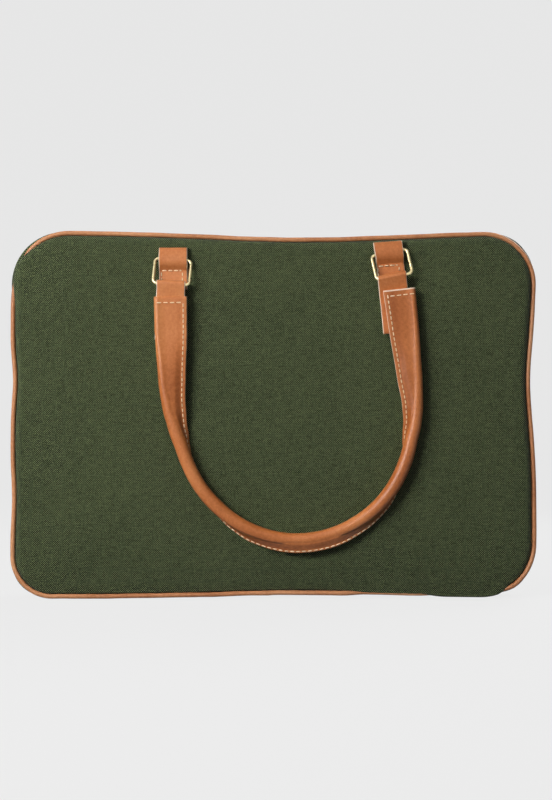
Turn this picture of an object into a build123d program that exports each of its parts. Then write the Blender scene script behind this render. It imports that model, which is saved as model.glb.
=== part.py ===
"""Laptop sleeve: two padded, piped canvas panels zipped round a soft gusset, with leather hand grips.

Frame: the sleeve stands on its bottom edge. Origin at the centre of the base, +Z up, +X to the right,
and the front panel faces -Y. Millimetres. "Inset" always means the distance in from the outer outline.
"""

from build123d import *
from math import cos, radians, sin
import os

# ---- driving dimensions: the outline ----
WIDTH = 400.0
HEIGHT = 280.0
CORNER = 42.0

# ---- panel stack: distances out from the middle plane of the sleeve ----
PANEL_FACE = 21.0
CANVAS = 1.0
FOAM_BACK = 15.0
LINING = 0.8
LINING_BACK = FOAM_BACK - LINING
PANEL_INSET = 4.2
PANEL_EDGE_ROUND = 5.0

# ---- piping sewn between each panel and the gusset ----
PIPING_RADIUS = 2.0
PIPING_CORD_RADIUS = 1.1
PIPING_OUT = 16.0
PIPING_FLANGE_INSET = 7.0
LINING_INSET = 8.0
# The piping is pressed flat by this much where the sleeve stands on it.
BASE_FLAT = 0.1

# ---- gusset and zip ----
GUSSET_EDGE_INSET = 3.2
ZIP_INSET = 10.5
GUSSET_ZIP_OUT = 7.0
GUSSET_LINING = 0.6
TAPE = 0.5
TAPE_FROM = 0.6
TAPE_TO = 8.5
COIL_HEIGHT = 1.7
COIL_FROM = 0.1
COIL_TO = 2.8
ZIP_END_X = 150.0
BOTTOM_STRIP_GAP = 0.3
BOTTOM_FOAM = 3.8

# ---- zip sliders, which meet at the top centre when the sleeve is shut ----
SLIDER_LENGTH = 12.0
SLIDER_WIDTH = 8.0
SLIDER_PLATE = 0.9
SLIDER_START = 1.0
SLIDER_WEB = 0.8
SLIDER_CLEARANCE = 0.5
COIL_CUT = SLIDER_START + SLIDER_LENGTH + 1.0
BAIL_WIRE = 1.0
BAIL_GAP = 1.9
PULL_PIVOT = 7.2
PULL_END_BAR = 1.4
PULL_EYE = 4.0
PULL_LENGTH = 24.0
PULL_WIDTH = 6.0
PULL_THICKNESS = 1.0

# ---- leather straps and rectangular rings ----
LEATHER = 1.4
STRAP_WIDTH = 21.4
RING_WIRE = 1.2
RING_INNER_WIDTH = 25.0
RING_OUTER_HEIGHT = 22.4
RING_CORNER = 3.2
RING_LEAN = 18.0
BAR_OUT = 3.8
POCKET_OUT = 6.6
TAB_BOTTOM_DROP = 22.5
TAB_STITCH_DROP = 8.2

# Each side's ring: top bar centre, tilt in the plane of the panel, and its two straps.
RINGS = {
    "left": {"x": -75.7, "z": 257.2, "tilt": -4.0, "tab_tilt": 0.0, "fold": 9.0, "loop_tilt": -2.0},
    "right": {"x": 87.1, "z": 262.4, "tilt": 12.0, "tab_tilt": 4.0, "fold": 8.4, "loop_tilt": 8.0},
}

# ---- hand grip: a folded leather strip, flat at its ends and rolled round a cord in between ----
GRIP_START = (-78.2, 228.7)
GRIP_START_HEADING = -89.5
GRIP_LEFT_RUN = 55.0
GRIP_ARCS = [(210.0, 19.0), (90.0, 53.5), (84.0, 75.0), (110.0, 38.5)]
GRIP_RIGHT_RUN = 79.0
# From each raw end inwards: distance along the grip, width, thickness.
GRIP_STATIONS = [
    (0.0, 25.6, 5.6),
    (27.0, 25.2, 5.6),
    (62.0, 21.8, 7.6),
    (92.0, 16.0, 9.4),
    (114.0, 11.2, 10.2),
]
GRIP_CORE_RADIUS = 3.4
LOOP_INNER = 1.45
LOOP_INSERT = 42.0

FRONT_TO_BACK = Rot(0, 0, 180)

# Seen from the right: local x is the distance out from the front panel, local y is up.
SIDE_VIEW = Plane(origin=(0, 0, 0), x_dir=(0, -1, 0), z_dir=(-1, 0, 0))


# ---- outline helpers ----
def outline(inset, out):
    """Rounded outline of the sleeve, at a distance out from the middle plane on the front side."""
    shape = RectangleRounded(WIDTH - 2 * inset, HEIGHT - 2 * inset, CORNER - inset)
    return Plane.XZ.offset(out) * Pos(0, HEIGHT / 2) * shape


def slab(inset, out_low, out_high):
    """A plate with the sleeve's outline, between two distances out from the middle plane."""
    return extrude(outline(inset, out_low), out_high - out_low)


def band(inset_outer, inset_inner, out_low, out_high):
    """A flat ring that follows the outline."""
    return slab(inset_outer, out_low, out_high) - slab(inset_inner, out_low - 1, out_high + 1)


def span_box(x_low, x_high, out_low, out_high, z_low, z_high):
    """A box on the front side, given by its limits."""
    size = (x_high - x_low, out_high - out_low, z_high - z_low)
    centre = ((x_low + x_high) / 2, -(out_low + out_high) / 2, (z_low + z_high) / 2)
    return Pos(*centre) * Box(*size)


def without_bottom_run(shape):
    """Cut away the stretch along the base where the sleeve has no zip."""
    return shape - span_box(-ZIP_END_X, ZIP_END_X, -1, PANEL_FACE + 1, -1, HEIGHT / 4)


# ---- one padded half: every function builds the front one ----
def canvas_panel():
    """Canvas face, turned in round its edge like a shallow tray."""
    face = slab(PANEL_INSET, FOAM_BACK, PANEL_FACE)
    face = fillet(face.faces().sort_by(Axis.Y)[0].edges(), PANEL_EDGE_ROUND)
    return face - foam_pad()


def foam_pad():
    """Padding that fills the canvas tray."""
    pad = slab(PANEL_INSET + CANVAS, FOAM_BACK, PANEL_FACE - CANVAS)
    return fillet(pad.faces().sort_by(Axis.Y)[0].edges(), PANEL_EDGE_ROUND - CANVAS)


def panel_lining():
    return slab(LINING_INSET, LINING_BACK, FOAM_BACK)


def seam_binding():
    """Tape that binds the raw edges of the seam inside the sleeve."""
    return band(PIPING_FLANGE_INSET, LINING_INSET, LINING_BACK, FOAM_BACK)


def piping_tube(radius):
    """A tube along the outline, on the centre line of the piping."""
    route = outline(PIPING_RADIUS, PIPING_OUT).wires()[0]
    section = Plane(origin=route @ 0, z_dir=route % 0) * Circle(radius)
    return sweep(section, path=route)


def piping_cord():
    return piping_tube(PIPING_CORD_RADIUS)


def piping_cover():
    """Leather wrapped round the cord, with the flat flange that is caught in the seam."""
    flange = band(PIPING_RADIUS, PIPING_FLANGE_INSET, LINING_BACK, FOAM_BACK)
    pressed_away = span_box(-WIDTH, WIDTH, 0, PANEL_FACE, -CORNER, BASE_FLAT)
    return piping_tube(PIPING_RADIUS) + flange - piping_tube(PIPING_CORD_RADIUS) - pressed_away


def gusset_layer(depth, thickness):
    """A sloping strip from the panel seam in to the zip, at a depth under the outer surface."""
    def skin(extra):
        at_zip = outline(ZIP_INSET - CANVAS + extra, GUSSET_ZIP_OUT)
        at_seam = outline(GUSSET_EDGE_INSET + extra, LINING_BACK)
        return loft([at_zip, at_seam], ruled=True)

    return without_bottom_run(skin(depth) - skin(depth + thickness))


def gusset_strip():
    return gusset_layer(0.0, CANVAS)


def gusset_lining():
    """Thin lining behind the gusset canvas, stopped short of the zip tape."""
    layer = gusset_layer(CANVAS, GUSSET_LINING)
    return layer - slab(0, 0, TAPE_TO)


def zip_tape():
    return without_bottom_run(band(ZIP_INSET, ZIP_INSET + TAPE, TAPE_FROM, TAPE_TO))


def zip_coil():
    """One side's row of zip teeth, open where the sliders sit at the top centre."""
    row = without_bottom_run(band(ZIP_INSET - COIL_HEIGHT, ZIP_INSET, COIL_FROM, COIL_TO))
    return row - span_box(-COIL_CUT, COIL_CUT, -1, PANEL_FACE, HEIGHT / 2, HEIGHT)


# ---- rings, anchor tabs and the loops of the hand grip ----
def bar_length():
    """Distance between the centre lines of a ring's top and lower bars."""
    return RING_OUTER_HEIGHT - 2 * RING_WIRE


def top_bar(side):
    spot = RINGS[side]
    return Vector(spot["x"], -(PANEL_FACE + BAR_OUT), spot["z"])


def ring_pose(side):
    """Places a ring drawn with its top bar at the origin, hanging down -Z in the XZ plane."""
    return Pos(*top_bar(side)) * Rot(0, -RINGS[side]["tilt"], 0) * Rot(-RING_LEAN, 0, 0)


def lower_bar(side):
    return (ring_pose(side) * Pos(0, 0, -bar_length())).position


def ring(side):
    """Rectangular wire ring with rounded corners."""
    width = RING_INNER_WIDTH + 2 * RING_WIRE
    frame = RectangleRounded(width, bar_length(), RING_CORNER)
    route = (Plane.XZ * Pos(0, -bar_length() / 2) * frame).wires()[0]
    section = Plane(origin=route @ 0, z_dir=route % 0) * Circle(RING_WIRE)
    return ring_pose(side) * sweep(section, path=route)


def anchor_tab(side):
    """Leather strap folded into a flat pocket round the ring's top bar and stitched to the panel."""
    fold = RINGS[side]["fold"]
    front = POCKET_OUT + LEATHER / 2
    outer = Polygon(
        (0, -TAB_BOTTOM_DROP),
        (2 * LEATHER, -TAB_BOTTOM_DROP),
        (2 * LEATHER, -TAB_STITCH_DROP),
        (front, -3.4),
        (front, 3.0),
        (3 * LEATHER, fold - 0.5),
        (3 * LEATHER - 0.8, fold),
        (0, fold),
        align=None,
    )
    pocket = Polygon(
        (LEATHER, 0.6 - TAB_STITCH_DROP),
        (front - LEATHER, -2.8),
        (front - LEATHER, 2.4),
        (2 * LEATHER + 0.4, fold - LEATHER - 0.2),
        (LEATHER, fold - LEATHER),
        align=None,
    )
    strap = extrude(SIDE_VIEW * (outer - pocket), STRAP_WIDTH / 2, both=True)
    ring_spot = Pos(RINGS[side]["x"], -PANEL_FACE, RINGS[side]["z"])
    return ring_spot * Rot(0, -RINGS[side]["tab_tilt"], 0) * strap


def loop_pose(side):
    return Pos(*lower_bar(side)) * Rot(0, -RINGS[side]["loop_tilt"], 0)


def loop_outline(side):
    """The closed outer shape of a loop: a round nose over the bar and a flat double tongue."""
    nose = LOOP_INNER + LEATHER
    tongue_top = -2.5 * nose
    neck = Polygon((-nose, 0), (nose, 0), (LEATHER, tongue_top), (-LEATHER, tongue_top), align=None)
    tongue = Polygon(
        (-LEATHER, tongue_top),
        (LEATHER, tongue_top),
        (LEATHER, -LOOP_INSERT),
        (-LEATHER, -LOOP_INSERT),
        align=None,
    )
    profile = Circle(nose) + neck + tongue
    return loop_pose(side) * extrude(SIDE_VIEW * profile, STRAP_WIDTH / 2, both=True)


def handle_loop(side):
    """Leather loop from the hand grip round the ring's lower bar, open where the bar runs through."""
    tunnel = Cylinder(LOOP_INNER, STRAP_WIDTH + 2, rotation=(0, 90, 0))
    return loop_outline(side) - Pos(*lower_bar(side)) * Rot(0, -RINGS[side]["tilt"], 0) * tunnel


# ---- hand grip ----
def grip_out():
    return (top_bar("left") - lower_bar("left")).Y + PANEL_FACE + BAR_OUT


def grip_route():
    """Centre line of the grip, as tangent lines and arcs in the plane of the grip."""
    heading = GRIP_START_HEADING
    point = Vector(*GRIP_START)
    edges = []

    def run(length):
        nonlocal point
        end = point + Vector(cos(radians(heading)), sin(radians(heading))) * length
        edges.append(Line(point, end))
        point = end

    run(GRIP_LEFT_RUN)
    for radius, turn in GRIP_ARCS:
        tangent = (cos(radians(heading)), sin(radians(heading)))
        edges.append(JernArc(start=point, tangent=tangent, radius=radius, arc_size=turn))
        point = edges[-1] @ 1
        heading += turn
    run(GRIP_RIGHT_RUN)
    return Plane.XZ.offset(grip_out()) * Wire(edges)


def grip_section(route, distance, width, thickness):
    """A rounded flat section square to the route, at a distance along it."""
    share = distance / route.length
    plane = Plane(origin=route @ share, x_dir=(0, -1, 0), z_dir=route % share)
    return plane * SlotOverall(width, thickness, rotation=90)


def tapered_end(route, from_start):
    """A flat stitched end that swells into the rolled tube, at the start or the end of the route."""
    sections = []
    for distance, width, thickness in GRIP_STATIONS:
        along = distance if from_start else route.length - distance
        sections.append(grip_section(route, along, width, thickness))
    pieces = [loft([first, second], ruled=True) for first, second in zip(sections, sections[1:])]
    return Part() + pieces


def grip_tube(route):
    """The rolled middle of the grip and the cord inside it."""
    tube_from, width, thickness = GRIP_STATIONS[-1]
    share = tube_from / route.length
    stretch = route.trim(share, 1 - share)
    plane = Plane(origin=stretch @ 0, x_dir=(0, -1, 0), z_dir=stretch % 0)
    tube = sweep(plane * SlotOverall(width, thickness, rotation=90), path=stretch)
    core = sweep(plane * Circle(GRIP_CORE_RADIUS), path=stretch)
    return tube, core


def hand_grip():
    """The leather cover of the grip and the cord inside it."""
    route = grip_route()
    tube, core = grip_tube(route)
    cover = tube + tapered_end(route, True) + tapered_end(route, False)
    for side in RINGS:
        cover = cover - loop_outline(side)
    return cover - core, core


# ---- parts of the zip ----
def zip_slider():
    """Slider on the right of the top centre: two plates, a web between the tapes and a bail."""
    tape_top = HEIGHT - ZIP_INSET
    tape_bottom = tape_top - TAPE
    middle = SLIDER_START + SLIDER_LENGTH / 2
    under_z = tape_bottom - SLIDER_CLEARANCE - SLIDER_PLATE / 2
    over_z = tape_top + COIL_HEIGHT + SLIDER_CLEARANCE + SLIDER_PLATE / 2
    plate = extrude(SlotOverall(SLIDER_LENGTH, SLIDER_WIDTH), SLIDER_PLATE / 2, both=True)
    web_height = over_z - under_z
    web = Pos(SLIDER_START + SLIDER_LENGTH / 3, 0, (over_z + under_z) / 2) * Box(
        SLIDER_LENGTH / 2, SLIDER_WEB, web_height
    )
    slider = Pos(middle, 0, under_z) * plate + Pos(middle, 0, over_z) * plate + web
    return slider + bail()


def slider_top():
    return HEIGHT - ZIP_INSET + COIL_HEIGHT + SLIDER_CLEARANCE + SLIDER_PLATE


def bail():
    """The low bridge on top of a slider that carries the pull."""
    foot = SLIDER_START + 2.0
    head = SLIDER_START + SLIDER_LENGTH - 3.0
    under = slider_top() + BAIL_GAP
    bridge = span_box(foot, head, -BAIL_WIRE / 2, BAIL_WIRE / 2, slider_top() - 0.1, under + BAIL_WIRE)
    return bridge - span_box(foot + BAIL_WIRE, head - BAIL_WIRE, -1, 1, slider_top(), under)


def zip_pull():
    """Flat pull tab whose end bar lies under the bail; it points outward along the zip."""
    start = PULL_PIVOT - PULL_END_BAR / 2
    blade = Pos(start + PULL_LENGTH / 2, 0) * SlotOverall(PULL_LENGTH, PULL_WIDTH)
    eye = Pos(start + PULL_END_BAR + PULL_EYE / 2, 0) * SlotOverall(PULL_EYE, 2 * BAIL_WIRE)
    grip_hole = Pos(start + PULL_LENGTH - PULL_EYE, 0) * Circle(1.2)
    tab = extrude(blade - eye - grip_hole, PULL_THICKNESS / 2, both=True)
    return Pos(0, 0, slider_top() + BAIL_GAP / 2) * tab


def zip_end_stop():
    """Small stitched block at the right end of the zip, on the base."""
    return Pos(ZIP_END_X - 1.5, 0, ZIP_INSET - 0.4) * Box(2.0, 7.0, 2.2)


# ---- bottom of the sleeve ----
def bottom_layer(reach, low, high, half_length):
    """One layer of the base strip. The front edge is stopped just short of the hinge seam."""
    return Pos(0, 0, low) * Box(
        2 * half_length,
        2 * reach,
        high - low,
        align=(Align.CENTER, Align.CENTER, Align.MIN),
    )


def bottom_pieces():
    canvas_top = GUSSET_EDGE_INSET + CANVAS
    foam_top = canvas_top + BOTTOM_FOAM
    reach = LINING_BACK - BOTTOM_STRIP_GAP
    length = ZIP_END_X - BOTTOM_STRIP_GAP
    return {
        "bottom_gusset_canvas": bottom_layer(reach, GUSSET_EDGE_INSET, canvas_top, length),
        "bottom_foam_pad": bottom_layer(reach - 0.5, canvas_top, foam_top, length - 5.0),
        "bottom_lining": bottom_layer(reach - 0.5, foam_top, foam_top + GUSSET_LINING, length - 5.0),
    }


def half_pieces():
    """Every piece of the front half that the back half repeats."""
    grip, core = hand_grip()
    pieces = {
        "canvas_panel": canvas_panel(),
        "foam_pad": foam_pad(),
        "lining": panel_lining(),
        "seam_binding": seam_binding(),
        "piping_cover": piping_cover(),
        "piping_cord": piping_cord(),
        "gusset_strip": gusset_strip(),
        "gusset_lining": gusset_lining(),
        "zip_tape": zip_tape(),
        "zip_coil": zip_coil(),
        "handle_grip": grip,
        "handle_core": core,
    }
    for side in RINGS:
        pieces["ring_" + side] = ring(side)
        pieces["anchor_tab_" + side] = anchor_tab(side)
        pieces["handle_loop_" + side] = handle_loop(side)
    return pieces


def build():
    """Every node by name, settled so that the flattened piping stands at height 0."""
    nodes = bottom_pieces()
    for name, piece in half_pieces().items():
        nodes["front_" + name] = piece
        nodes["back_" + name] = FRONT_TO_BACK * piece
    zip_hardware = {"zip_slider": zip_slider(), "zip_pull": zip_pull(), "zip_end_stop": zip_end_stop()}
    for name, piece in zip_hardware.items():
        nodes[name + "_right"] = piece
        nodes[name + "_left"] = FRONT_TO_BACK * piece
    return {name: Pos(0, 0, -BASE_FLAT) * piece for name, piece in nodes.items()}


def report_hinge_lines():
    """Print the centres of the ring bars, which are the joints' positions."""
    for side in RINGS:
        for label, bar in {"top": top_bar(side), "lower": lower_bar(side)}.items():
            print(side, label, "bar", round(bar.X, 3), round(bar.Y, 3), round(bar.Z - BASE_FLAT, 3))


os.makedirs("parts", exist_ok=True)
report_hinge_lines()
for node, solid in build().items():
    export_step(solid, "parts/" + node + ".step")
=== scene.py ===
"""Laptop sleeve in dark green canvas with tan leather piping and a hanging leather grip on each side."""

from math import cos, exp, hypot, pi, radians, sin, sqrt

import bmesh
import bpy
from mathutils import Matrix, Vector, noise


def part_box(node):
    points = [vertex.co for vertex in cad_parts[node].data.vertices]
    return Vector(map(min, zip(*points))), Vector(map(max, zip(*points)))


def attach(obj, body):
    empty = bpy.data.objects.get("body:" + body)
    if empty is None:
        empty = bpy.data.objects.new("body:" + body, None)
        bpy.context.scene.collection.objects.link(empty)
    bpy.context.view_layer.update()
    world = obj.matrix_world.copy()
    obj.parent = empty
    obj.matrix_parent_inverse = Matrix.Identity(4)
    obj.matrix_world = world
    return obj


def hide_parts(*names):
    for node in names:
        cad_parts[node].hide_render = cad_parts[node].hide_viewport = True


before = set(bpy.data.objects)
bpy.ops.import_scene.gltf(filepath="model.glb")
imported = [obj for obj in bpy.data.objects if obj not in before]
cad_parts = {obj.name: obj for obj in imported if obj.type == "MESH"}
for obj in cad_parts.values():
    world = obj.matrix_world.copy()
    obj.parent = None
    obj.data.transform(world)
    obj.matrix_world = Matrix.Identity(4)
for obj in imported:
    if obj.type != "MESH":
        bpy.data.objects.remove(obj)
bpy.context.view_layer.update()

# ---- driving dimensions, in mm; out is the distance from the middle plane towards either panel ----
MM = 0.001
SIDES = {"front": -1, "back": 1}
COVER = {"front": "front_cover", "back": "back_shell"}
HALF_WIDTH = 200.0
HEIGHT = 280.0
HALF_HEIGHT = HEIGHT / 2
BASE_DROP = 0.1
CORNERS = {
    "bottom_right": (1, -1, 42.0),
    "top_right": (1, 1, 42.0),
    "top_left": (-1, 1, 45.0),
    "bottom_left": (-1, -1, 32.0),
}
INNER_ROUNDING = 0.14
ZIP_END_X = 150
EDGE_STEP = 4
SIDE_STEPS = 50
TOP_STEPS = 78
CORNER_STEPS = 20

CANVAS_PITCH = 0.84
PANEL_INSET = 3.7
PANEL_BACK = 15.05
PANEL_RISE = 5.7
PANEL_EDGE_ROUND = 4.8
PANEL_CROWN = 2.4
PIPING_INSET = 1.85
PIPING_OUT = 16.0
PIPING_RADIUS = 1.8
GUSSET_TOP = (3.2, 14.3)
GUSSET_ZIP = (9.5, 7.0)
GUSSET_THICK = 1.0
ZIP_INSET = 10.5
COIL_INSET = 9.7
TOOTH_PITCH = 2.2
TOOTH_RADIUS = 0.62
COIL_GAP = 14.0
COIL_STITCH_PITCH = 3.4
TOPSTITCH_PITCH = 3.6
LINING_INSET = 8.0
LINING_FACE = 14.25
LINING_EDGE = 14.5
LINING_BACK = 15.0
LINING_STEP = 4.2
LINING_LOOPS = 31
BINDING_INSET = 8.9
BINDING_HALF_WIDTH = 1.9
BASE_HALF_LENGTH = 149.7
BASE_LENGTH_STEPS = 72
BASE_WIDTH_STEPS = 12

LEATHER = 1.4
STRAP_HALF_WIDTH = 10.7
PANEL_FACE = 21.0
POCKET_OUT = 6.6
TAB_BACK_OUT = 0.85
TAB_FRONT_OUT = 2.25
TAB_BOTTOM = -22.5
TAB_STITCH = -8.2
TAB_BOX_HEIGHT = 12.6
SLANT_PER_DEGREE = 0.0175
RINGS = {
    "left": {"x": -75.7, "z": 257.2, "fold": 9.0, "tab_tilt": 0.0, "edge_slant": (0.0, 0.0)},
    "right": {"x": 87.1, "z": 262.4, "fold": 8.4, "tab_tilt": 4.0, "edge_slant": (-5.0, -2.0)},
}
GRIP_OUT = 30.98
LOOPS = {
    "left": {"bar": (-77.027, 238.225), "tilt": -2.0, "skew": 0.0, "slide": 0.0, "behind": 0.0},
    "right": {"bar": (91.055, 243.795), "tilt": 6.0, "skew": 0.1, "slide": -2.0, "behind": 3.6},
}
LOOP_RADIUS = 2.15
LOOP_LENGTH = 42.0

GRIP_START = (-78.2, 228.7)
GRIP_HEADING = -89.5
GRIP_RUNS = (55.0, 79.0)
GRIP_ARCS = ((210, 19.0), (90, 53.5), (84, 75.0), (110, 38.5))
GRIP_SEAM_HALF = (2.5, 1.4)
GRIP_END_BLEND = (30, 62)
GRIP_LOW_SEAM = ((140, 195), (305, 352))
GRIP_SEAM_WIDTH = (3.7, 1.9)
GRIP_STITCH_BACK = (2.7, 1.2)
# Place across the grip's section where the painted shade is darkest, in the valley beside the seam.
GRIP_PAINTED_SHADE_LINE = 8.5
# distance along the grip, radius of the corded fold, whole width, seam angle, sideways shift of the cord
GRIP_SECTIONS = (
    (0, 2.8, 25.0, 0, 0.7),
    (27, 2.8, 24.4, 0, 0.9),
    (62, 3.9, 20.8, 0, 1.3),
    (84, 4.6, 17.6, 4, 0.9),
    (100, 5.0, 14.8, 22, 0.8),
    (114, 5.1, 14.2, 55, 1.2),
    (134, 5.1, 13.9, 90, 0.6),
    (169, 5.2, 14.2, 118, 0.9),
    (186, 5.1, 14.2, 136, 0.6),
    (200, 5.0, 14.4, 154, 0.5),
    (232, 4.8, 14.9, 172, 0.5),
    (262, 4.8, 14.9, 172, 0.5),
    (280, 5.0, 14.4, 160, 0.3),
    (307, 5.1, 14.0, 138, -0.4),
    (324, 5.2, 13.8, 114, -0.8),
    (342, 5.2, 13.7, 88, -0.6),
    (358, 5.0, 13.7, 52, 0.9),
    (370, 4.9, 13.8, 18, 0.5),
    (384, 4.6, 15.8, 2, 0.8),
    (408, 3.9, 19.4, 0, 0.9),
    (445, 2.8, 22.8, 0, 1.1),
    (471.6, 2.8, 24.2, 0, 1.3),
)
STITCH_LENGTH = 2.9
STITCH_PITCH = 4.0
STITCH_RADIUS = 0.42
BOLD_STITCH_LENGTH = 3.5
BOLD_STITCH_RADIUS = 0.45
GREEN_STITCH_RADII = (0.2, 0.22)
ROOM_RADIUS = 4.0
ROOM_HEIGHT = 6.0


def mix(a, b, t):
    return a + (b - a) * t


def smooth(value, start, end):
    t = min(max((value - start) / (end - start), 0), 1)
    return t * t * (3 - 2 * t)


def hump(value, centre, width):
    return exp(-(((value - centre) / width) ** 2))


def place(side, x, out, z):
    """A point of one half in the shared frame; the back half is the front turned half round."""
    sign = SIDES[side]
    return Vector((-sign * x, sign * out, z - BASE_DROP)) * MM


# ---- the sleeve's outline ----
def edge_steps(limit, reach):
    """Positions from the middle of the base to a corner, for a straight of that length."""
    values = [i * EDGE_STEP for i in range(int(ZIP_END_X / EDGE_STEP) + 1)]
    values.append(ZIP_END_X)
    values += [v for v in (ZIP_END_X + 4, ZIP_END_X + 9, ZIP_END_X + 14) if v < limit - 2]
    return [v * reach / limit for v in values]


def corner_at(name, inset):
    """Centre and radius of one corner at an inset; the deepest loops keep a small round."""
    side_x, side_z, radius = CORNERS[name]
    cut = max(radius, inset + INNER_ROUNDING * (HALF_HEIGHT - inset))
    return side_x * (HALF_WIDTH - cut), HALF_HEIGHT + side_z * (HALF_HEIGHT - cut), cut - inset


def arc_points(name, inset, start):
    x, z, radius = corner_at(name, inset)
    result = []
    for i in range(CORNER_STEPS + 1):
        angle = radians(start + 90 * i / CORNER_STEPS)
        result.append((x + radius * cos(angle), z + radius * sin(angle), cos(angle), sin(angle)))
    return result


def between(start, end, steps):
    """Values strictly between start and end, in even steps."""
    return [mix(start, end, i / steps) for i in range(1, steps)]


def ring_at(inset):
    """Points round the sleeve at an inset, anticlockwise from the middle of the base, with normals."""
    right_x = corner_at("bottom_right", inset)[0]
    left_x = corner_at("bottom_left", inset)[0]
    base_right = edge_steps(HALF_WIDTH - CORNERS["bottom_right"][2], right_x)
    base_left = edge_steps(HALF_WIDTH - CORNERS["bottom_left"][2], -left_x)
    points = [(x, inset, 0, -1) for x in base_right]
    points += arc_points("bottom_right", inset, -90)
    heights = between(points[-1][1], corner_at("top_right", inset)[1], SIDE_STEPS)
    points += [(HALF_WIDTH - inset, z, 1, 0) for z in heights]
    points += arc_points("top_right", inset, 0)
    widths = between(points[-1][0], corner_at("top_left", inset)[0], TOP_STEPS)
    points += [(x, HEIGHT - inset, 0, 1) for x in widths]
    points += arc_points("top_left", inset, 90)
    heights = between(points[-1][1], corner_at("bottom_left", inset)[1], SIDE_STEPS)
    points += [(inset - HALF_WIDTH, z, -1, 0) for z in heights]
    points += arc_points("bottom_left", inset, 180)
    points += [(-x, inset, 0, -1) for x in reversed(base_left[1:])]
    return points


BASE_STEPS = int(ZIP_END_X / EDGE_STEP) + 1
ZIP_RUN = slice(BASE_STEPS, -(BASE_STEPS - 1))


def along(points, closed):
    """Distance along a run of points."""
    ends = points + [points[0]] if closed else points
    runs = [0.0]
    for a, b in zip(ends, ends[1:]):
        runs.append(runs[-1] + hypot(b[0] - a[0], b[1] - a[1]))
    return runs


def settle(x, z, weight):
    """The soft outline: the top sags, the base lifts, and the sides pull in a little."""
    up = smooth(z, HALF_HEIGHT, HEIGHT)
    down = smooth(HALF_HEIGHT - z, 0, HALF_HEIGHT)
    right = smooth(x, 90, HALF_WIDTH)
    left = smooth(-x, 90, HALF_WIDTH)
    sag = 5.3 * hump(x, 25, 105) * up * smooth(HALF_WIDTH - abs(x), 0, 60)
    lift = 2.8 * hump(x, 20, 85) * down
    pull_right = 4.8 * hump(z, 165, 48) * right
    pull_left = (2.0 * hump(z, 165, 22) + 1.0 * hump(z, 78, 25)) * left
    return x + weight * (pull_left - pull_right), z + weight * (lift - sag)


def overhang(x, z):
    """How far the panel has slid out over its piping: at one top corner and along part of the base."""
    corner = exp(-(((x + 194) ** 2 + (z - 250) ** 2) / 17**2))
    base = 0.5 * smooth(x, 50, 72) + 0.5 * smooth(x, 112, 130)
    base *= (1 - smooth(x, 170, 184)) * (1 - smooth(z, 4, 18))
    return min(corner + base, 1)


def puff(x, z):
    """How far the gusset bulges past the panels at three of the corners."""
    bulge = exp(-(((x + 178) ** 2 + (z - 258) ** 2) / 42**2))
    bulge += exp(-(((x - 182) ** 2 + (z - 262) ** 2) / 34**2))
    bulge += exp(-(((x + 186) ** 2 + (z - 16) ** 2) / 26**2))
    bulge += 0.45 * exp(-(((x - 186) ** 2 + (z - 18) ** 2) / 30**2))
    return bulge


def ripple(x, z, scale, seed):
    return noise.noise(Vector((x / scale, z / scale, seed)))


# ---- meshes ----
def add_mesh(name, verts, faces, coords, finish, part_of=None):
    """A mesh with one cloth coordinate per face corner, in mm. part_of gives a material per face."""
    mesh = bpy.data.meshes.new(name)
    mesh.from_pydata([tuple(v) for v in verts], [], faces)
    layer = mesh.uv_layers.new(name="UVMap")
    for loop, coord in zip(layer.data, coords):
        loop.uv = coord
    for material in finish:
        mesh.materials.append(material)
    for index, polygon in enumerate(mesh.polygons):
        polygon.use_smooth = True
        polygon.material_index = part_of[index] if part_of else 0
    shape = bmesh.new()
    shape.from_mesh(mesh)
    bmesh.ops.recalc_face_normals(shape, faces=shape.faces)
    shape.to_mesh(mesh)
    shape.free()
    obj = bpy.data.objects.new(name, mesh)
    bpy.context.scene.collection.objects.link(obj)
    return obj


def stacked_faces(levels, count):
    """Faces through closed rows of count points, with a cap on the first and the last."""
    faces = []
    for i in range(levels - 1):
        for j in range(count):
            k = (j + 1) % count
            faces.append((i * count + j, i * count + k, (i + 1) * count + k, (i + 1) * count + j))
    for row in (0, levels - 1):
        faces.append(tuple(row * count + j for j in range(count)))
    return faces


def tube(name, rows, runs, across, finish, loop=False, part_of=None):
    """A tube whose long lines are the rows. loop joins the ends of each row, or else both are capped."""
    count = len(rows[0])
    verts = [point for row in rows for point in row]
    faces, coords, parts = [], [], []
    for i in range(len(rows)):
        low, high = i * count, ((i + 1) % len(rows)) * count
        for j in range(count if loop else count - 1):
            k = (j + 1) % count
            faces.append((low + j, low + k, high + k, high + j))
            coords += [(runs[j], across[i]), (runs[j + 1], across[i])]
            coords += [(runs[j + 1], across[i + 1]), (runs[j], across[i + 1])]
            parts.append(part_of(i, j) if part_of else 0)
    caps = () if loop else (range(0, len(verts), count), range(count - 1, len(verts), count))
    for cap in caps:
        faces.append(tuple(cap))
        coords += [((verts[v].x + verts[v].y) / MM, verts[v].z / MM) for v in cap]
        parts.append(len(finish) - 1 if part_of else 0)
    return add_mesh(name, verts, faces, coords, finish, parts)


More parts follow.
